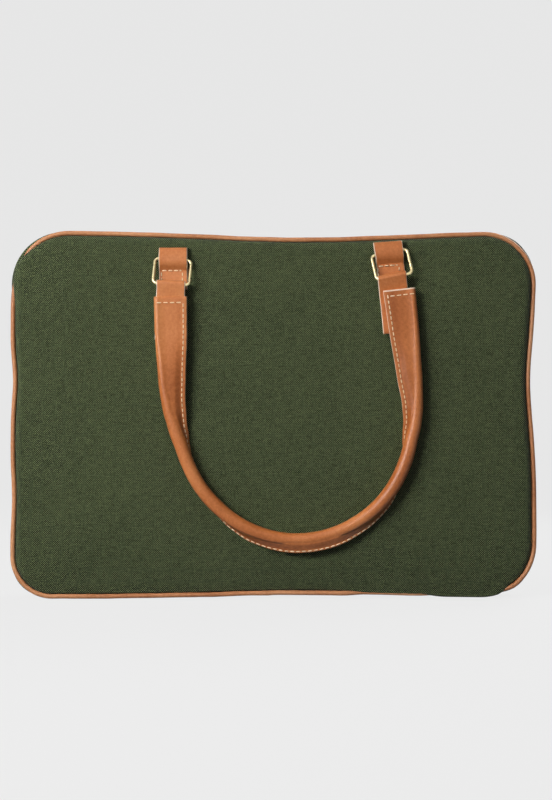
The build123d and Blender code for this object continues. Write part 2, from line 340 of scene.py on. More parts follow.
def capsules(name, pieces, finish, sides=7):
    """Many short rounded rods in one mesh: (start, end) in metres and radius in mm."""
    verts, faces, coords = [], [], []
    profile = ((0.0, 0.25), (0.1, 0.75), (0.28, 1.0), (0.5, 1.0), (0.72, 1.0), (0.9, 0.75), (1.0, 0.25))
    for number, (start, end, radius) in enumerate(pieces):
        axis = (end - start).normalized()
        first = axis.orthogonal().normalized()
        second = axis.cross(first)
        base = len(verts)
        for t, width in profile:
            centre = start.lerp(end, t)
            for k in range(sides):
                angle = 2 * pi * k / sides
                verts.append(centre + (first * cos(angle) + second * sin(angle)) * radius * MM * width)
        rings = len(profile)
        for i in range(rings - 1):
            for k in range(sides):
                m = (k + 1) % sides
                low, high = base + i * sides, base + (i + 1) * sides
                faces.append((low + k, low + m, high + m, high + k))
                coords += [(number, i), (number, i), (number, i + 1), (number, i + 1)]
        for ring in (0, rings - 1):
            faces.append(tuple(base + ring * sides + k for k in range(sides)))
            coords += [(number, ring)] * sides
    return add_mesh(name, verts, faces, coords, [finish])


def fit(obj, body, slot, *nodes):
    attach(obj, body)
    if nodes:
        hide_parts(*nodes)
    return obj


# ---- materials ----
class Paint:
    """A procedural material under construction."""

    def __init__(self, name, roughness=0.6, metallic=0.0, colour=None):
        self.material = bpy.data.materials.new(name)
        self.material.use_nodes = True
        self.nodes = self.material.node_tree.nodes
        self.links = self.material.node_tree.links
        self.shader = self.nodes["Principled BSDF"]
        self.shader.inputs["Roughness"].default_value = roughness
        self.shader.inputs["Metallic"].default_value = metallic
        if colour:
            self.shader.inputs["Base Color"].default_value = (*colour, 1)
            self.material.diffuse_color = (*colour, 1)

    def link(self, output, target):
        if isinstance(output, (int, float)):
            target.default_value = output
        else:
            self.links.new(output, target)

    def coords(self, scale, kind="UV"):
        source = self.nodes.new("ShaderNodeTexCoord").outputs[kind]
        mapping = self.nodes.new("ShaderNodeMapping")
        mapping.inputs["Scale"].default_value = scale
        self.links.new(source, mapping.inputs["Vector"])
        return mapping.outputs["Vector"]

    def noise(self, scale, detail=2.0, kind="UV", roughness=0.5):
        texture = self.nodes.new("ShaderNodeTexNoise")
        texture.inputs["Scale"].default_value = 1.0
        texture.inputs["Detail"].default_value = detail
        texture.inputs["Roughness"].default_value = roughness
        self.links.new(self.coords(scale, kind), texture.inputs["Vector"])
        return texture.outputs["Fac"]

    def voronoi(self, scale, kind="UV"):
        texture = self.nodes.new("ShaderNodeTexVoronoi")
        texture.inputs["Scale"].default_value = 1.0
        self.links.new(self.coords(scale, kind), texture.inputs["Vector"])
        return texture.outputs["Distance"]

    def math(self, operation, a, b=0.0):
        node = self.nodes.new("ShaderNodeMath")
        node.operation = operation
        self.link(a, node.inputs[0])
        self.link(b, node.inputs[1])
        return node.outputs[0]

    def spread(self, value, low, high, to_low, to_high):
        node = self.nodes.new("ShaderNodeMapRange")
        for index, number in enumerate((low, high, to_low, to_high), start=1):
            node.inputs[index].default_value = number
        self.links.new(value, node.inputs[0])
        return node.outputs[0]

    def ramp(self, value, *stops):
        node = self.nodes.new("ShaderNodeValToRGB")
        elements = node.color_ramp.elements
        while len(elements) < len(stops):
            elements.new(0.5)
        for element, (position, colour) in zip(elements, stops):
            element.position = position
            element.color = (*colour, 1)
        self.links.new(value, node.inputs[0])
        return node.outputs[0]

    def bump(self, height, distance, strength):
        node = self.nodes.new("ShaderNodeBump")
        node.inputs["Distance"].default_value = distance
        node.inputs["Strength"].default_value = strength
        self.links.new(height, node.inputs["Height"])
        self.links.new(node.outputs["Normal"], self.shader.inputs["Normal"])

    def vary(self, tone, part, weight):
        """The tone, moved up or down by a part from 0 to 1."""
        return self.math("ADD", tone, self.math("MULTIPLY", self.math("SUBTRACT", part, 0.5), weight))

    def crossing(self, pitch):
        """A different tone from 0 to 1 at each thread crossing."""
        cell = self.nodes.new("ShaderNodeVectorMath")
        cell.operation = "FLOOR"
        self.links.new(self.coords((1 / pitch, 1 / pitch, 1)), cell.inputs[0])
        random = self.nodes.new("ShaderNodeTexWhiteNoise")
        self.links.new(cell.outputs[0], random.inputs["Vector"])
        return random.outputs["Value"]

    def weave(self, pitch):
        """1 where the warp rides over, -1 where the weft does, on square threads of that pitch in mm."""
        split = self.nodes.new("ShaderNodeSeparateXYZ")
        self.links.new(self.coords((1, 1, 1)), split.inputs[0])
        across, up = [self.math("MULTIPLY", split.outputs[axis], pi / pitch) for axis in (0, 1)]
        return self.math("MULTIPLY", self.math("SINE", across), self.math("SINE", up))


def canvas_paint(name, dark, middle, light):
    """Heathered plain-weave canvas."""
    paint = Paint(name, roughness=0.92)
    threads = paint.weave(CANVAS_PITCH)
    crossing = paint.crossing(CANVAS_PITCH)
    warp = paint.noise((1.25, 0.12, 1), detail=1.0)
    weft = paint.noise((0.12, 1.25, 1), detail=1.0)
    fleck = paint.noise((2.2, 2.2, 1), detail=2.0, roughness=0.6)
    patch = paint.noise((0.02, 0.02, 1), detail=3.0)
    tone = paint.math("ADD", threads, 0.5)
    for part, weight in ((warp, 0.5), (weft, 0.7), (fleck, 0.8), (patch, 0.2), (crossing, 0.3)):
        tone = paint.vary(tone, part, weight)
    colour = paint.ramp(tone, (0.08, dark), (0.53, middle), (1.0, light))
    paint.links.new(colour, paint.shader.inputs["Base Color"])
    paint.bump(paint.math("ADD", threads, paint.math("MULTIPLY", fleck, 1.2)), 0.00012, 0.8)
    paint.shader.inputs["Sheen Weight"].default_value = 0.12
    paint.shader.inputs["Sheen Roughness"].default_value = 0.5
    paint.shader.inputs["Specular IOR Level"].default_value = 0.2
    return paint.material


def leather_paint(name, deep, middle, pale, roughness=0.42, first_stop=0.28, paints_valley_shade=False):
    """Smooth tan leather with a fine grain and slow changes of tone, and painted shade in the valley beside
    a seam, partly the leather's own deeper tone there.
    """
    paint = Paint(name, roughness=roughness)
    tone = paint.noise((14, 14, 14), detail=3.0, kind="Object")
    fine = paint.noise((420, 420, 420), detail=3.0, kind="Object", roughness=0.65)
    # Painted shade: the tone is pulled darker near the valley line beside the seam, standing in for the
    # shade in that hollow, partly the leather's own deeper tone.
    if paints_valley_shade:
        split = paint.nodes.new("ShaderNodeSeparateXYZ")
        paint.links.new(paint.coords((1, 1, 1)), split.inputs[0])
        valley = paint.math("ABSOLUTE", paint.math("SUBTRACT", split.outputs[1], GRIP_PAINTED_SHADE_LINE))
        tone = paint.math("ADD", tone, paint.spread(valley, 0.5, 6.0, -0.17, 0.03))
    tone = paint.vary(tone, fine, 0.45)
    colour = paint.ramp(tone, (first_stop, deep), (0.5, middle), (0.74, pale))
    paint.links.new(colour, paint.shader.inputs["Base Color"])
    grain = paint.voronoi((1500, 1500, 1500), kind="Object")
    paint.bump(paint.math("ADD", grain, paint.math("MULTIPLY", fine, 0.8)), 0.00010, 0.5)
    paint.shader.inputs["Specular IOR Level"].default_value = 0.35
    return paint.material


def cloth_paint(name, dark, light, pitch, roughness=0.85):
    """Plain tape or lining cloth with visible threads."""
    paint = Paint(name, roughness=roughness)
    threads = paint.weave(pitch)
    fuzz = paint.noise((0.8, 0.8, 1), detail=3.0)
    tone = paint.math("ADD", paint.math("MULTIPLY", threads, 0.2), fuzz)
    paint.links.new(paint.ramp(tone, (0.2, dark), (0.8, light)), paint.shader.inputs["Base Color"])
    paint.bump(threads, 0.0001, 0.6)
    return paint.material


def metal_paint(name, colour, roughness):
    paint = Paint(name, roughness=roughness, metallic=1.0, colour=colour)
    wear = paint.noise((260, 260, 260), detail=3.0, kind="Object")
    uneven = paint.spread(wear, 0.3, 0.7, roughness * 0.75, roughness * 1.3)
    paint.links.new(uneven, paint.shader.inputs["Roughness"])
    return paint.material


def thread_paint(name, dark, light):
    paint = Paint(name, roughness=0.7)
    twist = paint.noise((900, 900, 900), detail=2.0, kind="Object")
    paint.links.new(paint.ramp(twist, (0.3, dark), (0.7, light)), paint.shader.inputs["Base Color"])
    paint.bump(twist, 0.0001, 0.6)
    return paint.material


CANVAS = canvas_paint("canvas_green", (0.002, 0.004, 0.001), (0.020, 0.032, 0.009), (0.160, 0.198, 0.082))
PIPING = leather_paint("leather_piping", (0.36, 0.12, 0.038), (0.53, 0.215, 0.085), (0.68, 0.32, 0.15))
LEATHER_DEEP = (0.38, 0.105, 0.022)
# Dark end of the grip leather's tone, reached where the painted valley shade is laid on as well as by its
# random tone.
LEATHER_DEEP_AND_VALLEY_SHADE = (0.33, 0.085, 0.014)
LEATHER_MIDDLE = (0.53, 0.165, 0.043)
LEATHER_PALE = (0.66, 0.245, 0.08)
LEATHER_TAN = leather_paint("leather_tan", LEATHER_DEEP, LEATHER_MIDDLE, LEATHER_PALE)
# Grip leather, with painted shade in the valley beside its seam.
GRIP_TAN = leather_paint(
    "leather_grip", LEATHER_DEEP_AND_VALLEY_SHADE, LEATHER_MIDDLE, LEATHER_PALE, 0.35, first_stop=0.24, paints_valley_shade=True
)
LEATHER_CUT = leather_paint(
    "leather_cut_edge", (0.66, 0.45, 0.30), (0.80, 0.62, 0.46), (0.92, 0.80, 0.66), 0.8
)
THREAD = thread_paint("thread_cream", (0.80, 0.60, 0.34), (0.98, 0.84, 0.58))
THREAD_GREEN = thread_paint("thread_green", (0.05, 0.065, 0.035), (0.12, 0.14, 0.08))
BRASS = metal_paint("brass_pale", (0.74, 0.63, 0.35), 0.30)
ZIP_BRASS = metal_paint("brass_zip", (0.70, 0.55, 0.30), 0.28)
TAPE = cloth_paint("zip_tape_cloth", (0.020, 0.026, 0.014), (0.050, 0.060, 0.034), 0.7)
LINING = cloth_paint("lining_cloth", (0.045, 0.045, 0.040), (0.105, 0.105, 0.096), 0.6)
BINDING = cloth_paint("binding_cloth", (0.028, 0.035, 0.018), (0.065, 0.078, 0.042), 0.9)
TEETH = Paint("zip_teeth_nylon", roughness=0.38, colour=(0.035, 0.040, 0.024)).material


# ---- panels, piping, gusset and zip ----
def panel_surface(x, z, depth, seed):
    """How far out the padded panel stands, a distance depth in from its edge."""
    edge = min(depth / PANEL_EDGE_ROUND, 1)
    out = PANEL_BACK + 0.3 + PANEL_RISE * sqrt(1 - (1 - edge) ** 2)
    held = 1.0
    for ring in RINGS.values():
        held -= exp(-(((x - ring["x"]) / 26) ** 2 + ((z - ring["z"] + 6) / 24) ** 2))
    held = max(held, 0)
    across, up = abs(x) / 196, abs(z - HALF_HEIGHT) / 136
    crown = PANEL_CROWN * (1 - min(across, 1) ** 6) * (1 - min(up, 1) ** 5)
    crown += 0.5 * ripple(x, z, 62, seed) * smooth(depth, 4, 30)
    crown += 0.18 * ripple(x, z, 24, seed + 5)
    pucker = 0.30 * exp(-depth / 8) * ripple(x, z, 5.5, seed + 9) * smooth(depth, 0.5, 3)
    droop = 2.6 * exp(-((z / 20) ** 2)) * smooth(depth, 0, 3) + 1.6 * hump(z, 0, 60)
    droop += 0.9 * hump(z, HEIGHT, 30) * smooth(depth, 0, 3)
    return out + held * (crown - droop) + pucker


def canvas_panel(side, seed):
    """One padded panel: canvas drawn over foam, closed at the back, with its edge turned in."""
    depths = [0.0, 0.25, 0.8, 1.6, 2.7, 4.1, 6.0, 8.5, 11.5, 15]
    while depths[-1] < 128:
        depths.append(depths[-1] + 4.5)
    depths.append(HALF_HEIGHT - 0.8 - PANEL_INSET)
    base = ring_at(0)
    rings = []
    for depth in depths:
        row = []
        for (x, z, nx, nz), (x0, z0, _, _) in zip(ring_at(PANEL_INSET + depth), base):
            slide = 3.0 * overhang(x0, z0) * (1 - smooth(depth, 0, 26))
            x, z = x + nx * slide, z + nz * slide
            x1, z1 = settle(x, z, 1)
            row.append((x1, panel_surface(x, z, depth, seed), z1))
        rings.append(row)
    turned = [[(x * 0.9975, PANEL_BACK, (z - HALF_HEIGHT) * 0.9965 + HALF_HEIGHT) for x, _, z in rings[0]]]
    rows = list(reversed(rings)) + turned
    verts = [place(side, *point) for row in rows for point in row]
    flat = [(x, z) for row in rows for x, _, z in row]
    faces = stacked_faces(len(rows), len(base))
    coords = [flat[v] for face in faces for v in face]
    obj = add_mesh(f"{side}_panel", verts, faces, coords, [CANVAS])
    fit(obj, COVER[side], "canvas", f"{side}_canvas_panel", f"{side}_foam_pad")


def piping(side, seed):
    """Leather piping round the panel: a cord inside a folded strip, a little uneven."""
    base = ring_at(0)
    runs = along(base, True)
    sides = 14
    rows = [[] for _ in range(sides)]
    for (x, z, nx, nz), run in zip(base, runs):
        hide = overhang(x, z)
        wave = noise.noise(Vector((run / 28, seed, 0)))
        swell = 1 + 0.06 * noise.noise(Vector((run / 9, seed, 4)))
        inset = PIPING_INSET + 2.4 * hide + 0.3 * wave
        out = PIPING_OUT - 3.2 * hide + 0.4 * noise.noise(Vector((run / 40, seed, 8)))
        cx, cz = settle(x - nx * inset, z - nz * inset, 1)
        for k in range(sides):
            angle = 2 * pi * k / sides
            r = PIPING_RADIUS * swell
            aside, ahead = r * cos(angle), r * sin(angle)
            rows[k].append(place(side, cx + nx * aside, out + ahead, cz + nz * aside))
    across = [k * 2 * pi * PIPING_RADIUS / sides for k in range(sides + 1)]
    obj = tube(f"{side}_piping", rows, runs, across, [PIPING], loop=True)
    fit(obj, COVER[side], "leather", f"{side}_piping_cover", f"{side}_piping_cord")


def band_rows(side, profile):
    """Rows of points along the zip's run, through (inset, out) points."""
    rows = []
    for inset, out in profile:
        rows.append([place(side, x, out, z) for x, z, *_ in ring_at(inset)[ZIP_RUN]])
    return rows


def gusset(side, seed):
    """Canvas gusset from the piping down to the zip, bulging softly at the corners."""
    base = ring_at(0)[ZIP_RUN]
    runs = along(base, False)
    steps = 9
    levels = [i / steps for i in range(steps + 1)]
    layout = [(t, 0.0) for t in levels] + [(t, GUSSET_THICK) for t in reversed(levels)]
    rows = []
    for t, depth in layout:
        inset = mix(GUSSET_TOP[0], GUSSET_ZIP[0], t**1.25) + depth * 0.9
        out = mix(GUSSET_TOP[1], GUSSET_ZIP[1], t) - depth * 0.25
        row = []
        for (x, z, nx, nz), (x0, z0, _, _), run in zip(ring_at(inset)[ZIP_RUN], base, runs):
            bulge = (0.9 + 5.6 * puff(x0, z0)) * sin(pi * min(t * 1.05, 1) ** 0.75) ** 1.1
            bulge += 0.35 * sin(pi * t) * noise.noise(Vector((run / 11, t * 2, seed)))
            x, z = x + nx * bulge, z + nz * bulge
            x, z = settle(x, z, smooth(out, 7, 14))
            row.append(place(side, x, out, max(z, 0.2)))
        rows.append(row)
    across = [i * 1.1 for i in range(len(layout) + 1)]
    obj = tube(f"{side}_gusset", rows, runs, across, [CANVAS])
    fit(obj, COVER[side], "canvas", f"{side}_gusset_strip")


def zip_tape(side):
    """Zip tape of one half, sewn to the gusset."""
    levels = (0.6, 3, 6, 8.5)
    profile = [(ZIP_INSET, out) for out in levels]
    profile += [(ZIP_INSET + 0.5, out) for out in reversed(levels)]
    runs = along(ring_at(ZIP_INSET)[ZIP_RUN], False)
    across = [0, 2.4, 5.4, 7.9, 8.4, 10.9, 13.9, 16.3, 16.8]
    obj = tube(f"{side}_tape", band_rows(side, profile), runs, across, [TAPE])
    fit(obj, COVER[side], "zip_tape", f"{side}_zip_tape")


def zip_teeth(side):
    """Coil teeth that interlock with the other half's, left out where the sliders are parked."""
    path = ring_at(COIL_INSET)[ZIP_RUN]
    shift = 0.0 if side == "front" else TOOTH_PITCH / 2
    teeth = []
    for x, z, *_ in walk(path, TOOTH_PITCH, shift):
        if z < HALF_HEIGHT or abs(x) > COIL_GAP:
            teeth.append((place(side, x, 2.7, z), place(side, x, -0.75, z), TOOTH_RADIUS))
    fit(capsules(f"{side}_teeth", teeth, TEETH, sides=6), COVER[side], "zip_teeth", f"{side}_zip_coil")


def green_stitch(side, spot, out, lift, first):
    """The two ends of a stitch along the zip, one on each side of a spot, lifted off the cloth."""
    x, z, nx, nz = spot
    ends = []
    for reach in (first, -first):
        ends.append(place(side, x - nz * reach + nx * lift, out, z + nx * reach + nz * lift))
    return ends


def zip_stitches(side):
    """Stitches that hold the coil to its tape, and the topstitching of the gusset beside the tape."""
    small, large = GREEN_STITCH_RADII
    sewing = []
    for spot in walk(ring_at(COIL_INSET)[ZIP_RUN], COIL_STITCH_PITCH, 1.0):
        if spot[1] < HALF_HEIGHT or abs(spot[0]) > COIL_GAP + 2:
            sewing.append((*green_stitch(side, spot, 1.75, 0.75, 1.1), small))
    fit(capsules(f"{side}_coil_sewing", sewing, THREAD_GREEN, sides=5), COVER[side], "zip_tape")
    topstitch = []
    for spot in walk(ring_at(GUSSET_ZIP[0] - 0.35)[ZIP_RUN], TOPSTITCH_PITCH, 1.2):
        topstitch.append((*green_stitch(side, spot, 8.1, 0.55, -1.25), large))
    fit(capsules(f"{side}_zip_topstitch", topstitch, THREAD_GREEN, sides=5), COVER[side], "canvas")


def walk(path, pitch, start):
    """Points every pitch along a path of (x, z, normal x, normal z)."""
    runs = along(path, False)
    result = []
    at = start
    index = 0
    while at < runs[-1]:
        while runs[index + 1] < at:
            index += 1
        t = (at - runs[index]) / (runs[index + 1] - runs[index])
        result.append([mix(a, b, t) for a, b in zip(path[index], path[index + 1])])
        at += pitch
    return result


def lining(side, seed):
    """Lining sheet of one half, sewn down flat."""
    insets = [LINING_INSET, LINING_INSET + 0.6]
    insets += [LINING_INSET + 0.6 + LINING_STEP * i for i in range(1, LINING_LOOPS + 1)]
    rows = []
    for inset in reversed(insets):
        row = []
        for x, z, *_ in ring_at(inset):
            rise = 0.15 * smooth(inset - LINING_INSET, 0, 20) * ripple(x, z, 55, seed)
            row.append(place(side, x, LINING_EDGE if inset == LINING_INSET else LINING_FACE + rise, z))
        rows.append(row)
    rows.append([place(side, x, LINING_BACK, z) for x, z, *_ in ring_at(LINING_INSET + 0.3)])
    verts = [point for row in rows for point in row]
    faces = stacked_faces(len(rows), len(rows[0]))
    coords = [(verts[v].x / MM, verts[v].z / MM) for face in faces for v in face]
    obj = add_mesh(f"{side}_lining_sheet", verts, faces, coords, [LINING])
    fit(obj, COVER[side], "lining", f"{side}_lining")


def wall_lining(side):
    """Lining behind the gusset."""
    profile = [(8.4, 14.0), (8.4, 11), (9.6, 8.7), (10.2, 8.7), (9.2, 11), (9.2, 14.0)]
    runs = along(ring_at(profile[0][0])[ZIP_RUN], False)
    across = [0, 3, 6, 6.8, 9.8, 12.8, 13.5]
    obj = tube(f"{side}_wall_lining", band_rows(side, profile), runs, across, [LINING])
    fit(obj, COVER[side], "lining", f"{side}_gusset_lining")


def binding(side):
    """Folded tape over the raw seam edges."""
    low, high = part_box(f"{side}_seam_binding")
    near = min(abs(low.y), abs(high.y)) / MM
    far = max(abs(low.y), abs(high.y)) / MM
    middle = (near + far) / 2
    profile = []
    for k in range(10):
        angle = 2 * pi * k / 10
        inset = BINDING_INSET + BINDING_HALF_WIDTH * cos(angle)
        profile.append((inset, middle + (far - near) / 2 * sin(angle)))
    runs = along(ring_at(9), True)
    rows = []
    for inset, out in profile:
        rows.append([place(side, x, out, z) for x, z, *_ in ring_at(inset)])
    across = [k * 1.1 for k in range(11)]
    obj = tube(f"{side}_binding_tape", rows, runs, across, [BINDING], loop=True)
    fit(obj, COVER[side], "binding", f"{side}_seam_binding")


def base_strip():
    """Canvas, padding and lining of the base between the two ends of the zip."""
    xs = []
    for i in range(BASE_LENGTH_STEPS + 1):
        xs.append(-BASE_HALF_LENGTH + 2 * BASE_HALF_LENGTH * i / BASE_LENGTH_STEPS)
    layers = (
        ("base_canvas", 13.9, 3.15, 4.15, CANVAS, "canvas", ("bottom_gusset_canvas",)),
        ("base_pad", 13.4, 4.2, 8.45, LINING, "lining", ("bottom_foam_pad", "bottom_lining")),
    )
    for name, half, low, high, paint, slot, nodes in layers:
        widths = [-half + 2 * half * i / BASE_WIDTH_STEPS for i in range(BASE_WIDTH_STEPS + 1)]
        profile = [(y, low) for y in widths] + [(-y, high) for y in widths]
        rows = []
        for y, z in profile:
            row = []
            for x in xs:
                edge = 1 - abs(y) / half
                dip = 0.25 * ripple(x, y, 18, 3) * smooth(edge, 0, 0.4)
                if name == "base_pad" and z == high:
                    dip -= 0.9 * (1 - smooth(edge, 0, 0.35))
                row.append(Vector((x, y, z + dip - BASE_DROP + 0.05)) * MM)
            rows.append(row)
        across = [i * 2.2 for i in range(len(profile) + 1)]
        obj = tube(name, rows, [x + 150 for x in xs], across, [paint])
        fit(obj, "back_shell", slot, *nodes)


# ---- straps ----
def strap(name, put, path):
    """A leather strap swept along (shift, out, up, half width) points in a side plane, cut edges pale."""
    count = len(path)
    half = LEATHER / 2
    section = []
    for across in (-1.0, -0.96, -0.88, -0.4, 0.0, 0.4, 0.88, 0.96, 1.0):
        section.append((across, 1.0 if abs(across) < 0.97 else 0.55))
    section += [(across, -up) for across, up in reversed(section)]
    rows = [[] for _ in section]
    runs = [0.0]
    for i, (shift, out, up, wide) in enumerate(path):
        before = path[max(i - 1, 0)]
        after = path[min(i + 1, count - 1)]
        tangent = Vector((after[1] - before[1], after[2] - before[2])).normalized()
        normal = Vector((tangent.y, -tangent.x))
        if i:
            runs.append(runs[-1] + hypot(out - before[1], up - before[2]))
        for row, (across, side_up) in zip(rows, section):
            bend = half * side_up
            row.append(put(shift + across * wide, out + normal.x * bend, up + normal.y * bend))
    widths = [across * STRAP_HALF_WIDTH + 30 * (k >= 9) for k, (across, up) in enumerate(section)]
    widths.append(widths[0])
    cut_edges = (0, 7, 8, 9, 16, len(section) - 1)

    def part(row, _):
        return 1 if row in cut_edges else 0

    return tube(name, rows, runs, widths, [LEATHER_TAN, LEATHER_CUT], part_of=part)


def rounded(points, radii, step=0.5):
    """A polyline with its corners rounded, as evenly spaced (out, up) points."""
    dense = [Vector(points[0])]
    for before, corner, after, radius in zip(points, points[1:], points[2:], radii):
        corner = Vector(corner)
        inward = (Vector(before) - corner).normalized()
        outward = (Vector(after) - corner).normalized()
        half = inward.angle(outward) / 2
        back = radius * abs(cos(half)) / sin(half)
        first, last = corner + inward * back, corner + outward * back
        for i in range(9):
            t = i / 8
            dense.append(first.lerp(corner, t).lerp(corner.lerp(last, t), t))
    dense.append(Vector(points[-1]))
    result = [dense[0]]
    for point in dense[1:]:
        gap = (point - result[-1]).length
        pieces = max(int(gap / (4 * step)), 1)
        start = result[-1]
        if gap > 0.05:
            result += [start.lerp(point, (i + 1) / pieces) for i in range(pieces)]
    return result


def tab_place(side, hand):
    ring = RINGS[hand]
    turn = radians(ring["tab_tilt"])

    def put(across, out, up):
        x = across * cos(turn) - up * sin(turn)
        z = across * sin(turn) + up * cos(turn)
        return place(side, ring["x"] + x, PANEL_FACE + out, ring["z"] + z)

    return put


def anchor_tab(side, hand):
    """Strap folded into a pocket round the ring's top bar and box-stitched to the panel."""
    ring = RINGS[hand]
    fold = ring["fold"]
    points = [
        (TAB_BACK_OUT, TAB_BOTTOM),
        (TAB_BACK_OUT, fold - 0.7),
        (3.4, fold - 0.7),
        (POCKET_OUT, 3.0),
        (POCKET_OUT, -3.2),
        (TAB_FRONT_OUT, TAB_STITCH),
        (TAB_FRONT_OUT, TAB_BOTTOM),
    ]
    put = tab_place(side, hand)
    path = []
    for out, up in rounded(points, [1.1, 1.6, 8.0, 7.5, 2.4]):
        left = ring["edge_slant"][0] * up * SLANT_PER_DEGREE
        right = ring["edge_slant"][1] * up * SLANT_PER_DEGREE
        wave = 0.18 * noise.noise(Vector((out * 0.4, up * 0.25, ring["x"])))
        path.append(((left + right) / 2 + wave, out, up, STRAP_HALF_WIDTH + (right - left) / 2))
    name = f"{side}_tab_{hand}"
    fit(strap(name, put, path), COVER[side], "leather", f"{side}_anchor_tab_{hand}")
    fit(capsules(f"{name}_stitches", tab_stitches(hand, put), THREAD), COVER[side], "leather")


def tab_stitches(hand, put):
    """A bold row below the pocket, and the rest of the stitched box under the grip's end."""
    stitches = []
    face = TAB_FRONT_OUT + LEATHER / 2 + 0.12
    rise = -0.3 if hand == "left" else -1.7
    row = [(start, BOLD_STITCH_LENGTH) for start in (-8.3, -4.0, 0.3)] + [(4.6, 1.6)]
    for start, length in row:
        ends = [put(start + reach, face + 0.3, TAB_STITCH + 0.1 + rise) for reach in (0, length)]
        stitches.append((*ends, BOLD_STITCH_RADIUS))
    for across in (-8.9, 6.9):
        for low in (TAB_STITCH - 4.2, TAB_STITCH - 8.0, TAB_STITCH - 11.8):
            ends = [put(across, face, low + rise + reach) for reach in (0, STITCH_LENGTH)]
            stitches.append((*ends, STITCH_RADIUS))
    for start, length in row:
        ends = [put(start + reach, face, TAB_STITCH - TAB_BOX_HEIGHT) for reach in (0, length)]
        stitches.append((*ends, STITCH_RADIUS))
    return stitches


def loop_place(side, hand):
    """A placer for points of a loop: it hangs at a tilt, and its fold follows the bar's own slope."""
    x0, z0 = LOOPS[hand]["bar"]
    turn = radians(LOOPS[hand]["tilt"])
    skew = LOOPS[hand]["skew"]

    def put(across, out, up):
        x = across * cos(turn) - up * sin(turn)
        z = across * (sin(turn) + skew * smooth(up, -24, -2)) + up * cos(turn)
        return place(side, x0 + x, GRIP_OUT + out, z0 + z)

    return put


def handle_loop(side, hand):
    """Strap from inside the grip's end, over the ring's lower bar and back."""
    loop = LOOPS[hand]
    front, back = 0.75 - loop["behind"], -0.75 - loop["behind"]
    points = [(back, -LOOP_LENGTH), (back, -15), (-1.5, -5)]
    for i in range(9):
        angle = pi - pi * i / 8
        points.append((LOOP_RADIUS * cos(angle), LOOP_RADIUS * sin(angle)))
    points += [(front, -15), (front, -LOOP_LENGTH)]
    path = []
    for out, up in rounded(points, [8, 4] + [0.6] * 9 + [10]):
        wave = 0.15 * noise.noise(Vector((out * 0.3, up * 0.2, loop["bar"][0])))
        path.append((loop["slide"] + wave, out, up, STRAP_HALF_WIDTH))
    obj = strap(f"{side}_loop_{hand}", loop_place(side, hand), path)
    fit(obj, f"{side}_handle", "leather", f"{side}_handle_loop_{hand}")


# ---- hand grip ----
def grip_route(step=2.0):
    """Points along the grip's centre line: (distance, x, z, tangent x, tangent z)."""
    x, z = GRIP_START
    heading = radians(GRIP_HEADING)
    pieces = [(GRIP_RUNS[0], 0.0)]
    pieces += [(radius * radians(turn), 1 / radius) for radius, turn in GRIP_ARCS]
    pieces += [(GRIP_RUNS[1] - 1, 0.0), (1, 0.0)]
    result = [(0.0, x, z, cos(heading), sin(heading))]
    distance = 0.0
    for length, bend in pieces:
        count = max(round(length / step), 1)
        for _ in range(count):
            heading += bend * length / count / 2
            x += cos(heading) * length / count
            z += sin(heading) * length / count
            heading += bend * length / count / 2
            distance += length / count
            result.append((distance, x, z, cos(heading), sin(heading)))
    return result


def grip_section(distance):
    """Cord radius, whole width, seam angle and shift at a distance along the grip."""
    for before, after in zip(GRIP_SECTIONS, GRIP_SECTIONS[1:]):
        if distance <= after[0] + 0.6:
            t = smooth(distance, before[0], after[0]) * 0.5
            t += 0.5 * min(max((distance - before[0]) / (after[0] - before[0]), 0), 1)
            return [mix(a, b, t) for a, b in zip(before[1:], after[1:])]
    return list(GRIP_SECTIONS[-1][1:])


def grip_profile(radius, width, seam_half, low):
    """The folded strip in section: the seam edge, the valley, the fold round the cord, and back."""
    reach = width - radius
    seam = reach - mix(*GRIP_SEAM_WIDTH, low)
    turn = radians(58)
    top = (radius * cos(turn), radius * sin(turn))
    fall = min(5.5, seam - top[0])
    upper = [(reach, 0.0), (reach, seam_half * 0.5), (reach - 0.12, seam_half - 0.25)]
    flat = reach - 0.5 - seam
    upper += [(reach - 0.5 - flat * part, seam_half) for part in (0, 0.33, 0.67)]
    upper.append((seam, seam_half - 0.05))
    for i in range(1, 7):
        p = mix(seam, seam - fall, i / 6) if i < 6 else mix(seam - fall, top[0], 0.5)
        rise = mix(smooth(seam - p, -0.2 * fall, fall), (seam - p) / (fall + 0.01), 0.9 * low)
        upper.append((p, mix(seam_half, max(top[1], seam_half), rise)))
    arc = []
    for i in range(19):
        angle = mix(turn, 2 * pi - turn, i / 18)
        arc.append((radius * cos(angle), radius * sin(angle)))
    lower = [(p, -q) for p, q in reversed(upper[1:])]
    return upper + arc + lower


